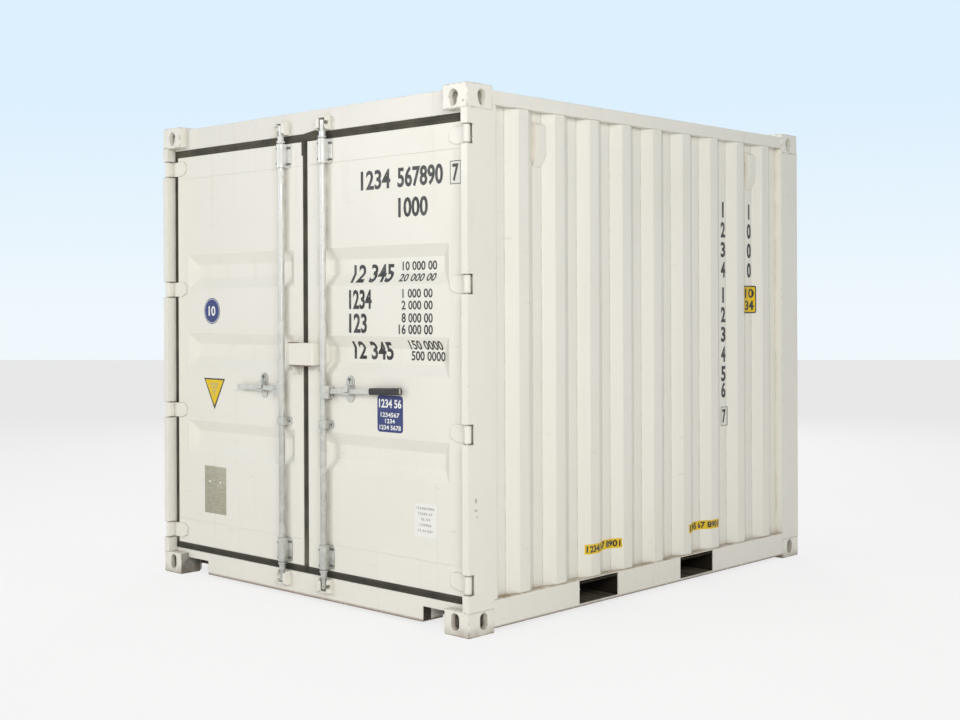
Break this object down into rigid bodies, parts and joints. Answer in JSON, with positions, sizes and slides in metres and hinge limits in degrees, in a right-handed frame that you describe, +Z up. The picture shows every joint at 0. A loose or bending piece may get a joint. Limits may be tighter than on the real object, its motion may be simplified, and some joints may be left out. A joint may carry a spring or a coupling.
{
  "type": "ten foot shipping container",
  "caption": "Steel freight container, 8 ft 6 in high, with corrugated walls, corner castings, fork pockets and two hinged doors with locking bars.",
  "frame": {"origin": "on the ground under the centre of the container", "axes": "+X to the right when facing the doors from outside, +Y along the length from the door end to the closed end, +Z up"},
  "size_m": [2.438, 2.991, 2.591],
  "materials": {
    "painted_steel": "off-white satin paint",
    "galvanised_steel": "dull zinc coat",
    "gasket_rubber": "matt black rubber",
    "plywood": "sealed dark plywood",
    "grip_plastic": "matt black plastic"
  },
  "bodies": {
    "container_body": {"casting_door_right_bottom": "painted_steel", "casting_door_left_bottom": "painted_steel", "casting_closed_right_bottom": "painted_steel", "casting_closed_left_bottom": "painted_steel", "casting_door_right_top": "painted_steel", "casting_door_left_top": "painted_steel", "casting_closed_right_top": "painted_steel", "casting_closed_left_top": "painted_steel", "door_posts": "painted_steel", "closed_end_posts": "painted_steel", "door_header": "painted_steel", "door_sill": "painted_steel", "top_side_rails": "painted_steel", "bottom_side_rails": "painted_steel", "closed_end_rails": "painted_steel", "right_side_wall": "painted_steel", "left_side_wall": "painted_steel", "closed_end_wall": "painted_steel", "roof_panel": "painted_steel", "floor_deck": "plywood", "cross_members": "painted_steel", "fork_pockets": "painted_steel", "cam_keepers": "painted_steel", "hinge_pins": "painted_steel", "ventilators": "painted_steel"},
    "right_door": {"right_door_leaf": "painted_steel", "right_door_gasket": "gasket_rubber", "right_hinge_blades": "painted_steel", "right_bar_brackets": "galvanised_steel", "right_catch_plate": "galvanised_steel", "lock_box": "painted_steel"},
    "left_door": {"left_door_leaf": "painted_steel", "left_door_gasket": "gasket_rubber", "left_hinge_blades": "painted_steel", "left_bar_brackets": "galvanised_steel", "left_catch_plate": "galvanised_steel", "padlock_lug": "painted_steel"},
    "right_bar": {"right_locking_bar": "galvanised_steel"},
    "left_bar": {"left_locking_bar": "galvanised_steel"},
    "right_handle": {"right_handle": "galvanised_steel", "handle_grip": "grip_plastic"},
    "left_handle": {"left_handle": "galvanised_steel"},
    "right_catch": {"right_catch": "galvanised_steel"},
    "left_catch": {"left_catch": "galvanised_steel"}
  },
  "joints": [
    {"name": "right_door_swing", "type": "hinge", "parent": "container_body", "child": "right_door", "pos_m": [1.198, -1.478, 1.3], "axis": [0, 0, 1], "range_deg": [0, 266]},
    {"name": "left_door_swing", "type": "hinge", "parent": "container_body", "child": "left_door", "pos_m": [-1.198, -1.478, 1.3], "axis": [0, 0, -1], "range_deg": [0, 266]},
    {"name": "right_bar_turn", "type": "hinge", "parent": "right_door", "child": "right_bar", "pos_m": [0.168, -1.47, 1.3], "axis": [0, 0, 1], "range_deg": [-100, 0]},
    {"name": "left_bar_turn", "type": "hinge", "parent": "left_door", "child": "left_bar", "pos_m": [-0.168, -1.47, 1.3], "axis": [0, 0, -1], "range_deg": [-100, 0]},
    {"name": "right_handle_lift", "type": "hinge", "parent": "right_bar", "child": "right_handle", "pos_m": [0.21, -1.47, 1.11], "axis": [0, -1, 0], "range_deg": [0, 5]},
    {"name": "left_handle_lift", "type": "hinge", "parent": "left_bar", "child": "left_handle", "pos_m": [-0.21, -1.47, 1.11], "axis": [0, 1, 0], "range_deg": [0, 5]},
    {"name": "right_catch_turn", "type": "hinge", "parent": "right_door", "child": "right_catch", "pos_m": [0.354, -1.452, 1.17528], "axis": [0, -1, 0], "range_deg": [0, 110]},
    {"name": "left_catch_turn", "type": "hinge", "parent": "left_door", "child": "left_catch", "pos_m": [-0.344, -1.452, 1.1686], "axis": [0, 1, 0], "range_deg": [0, 110]}
  ]
}
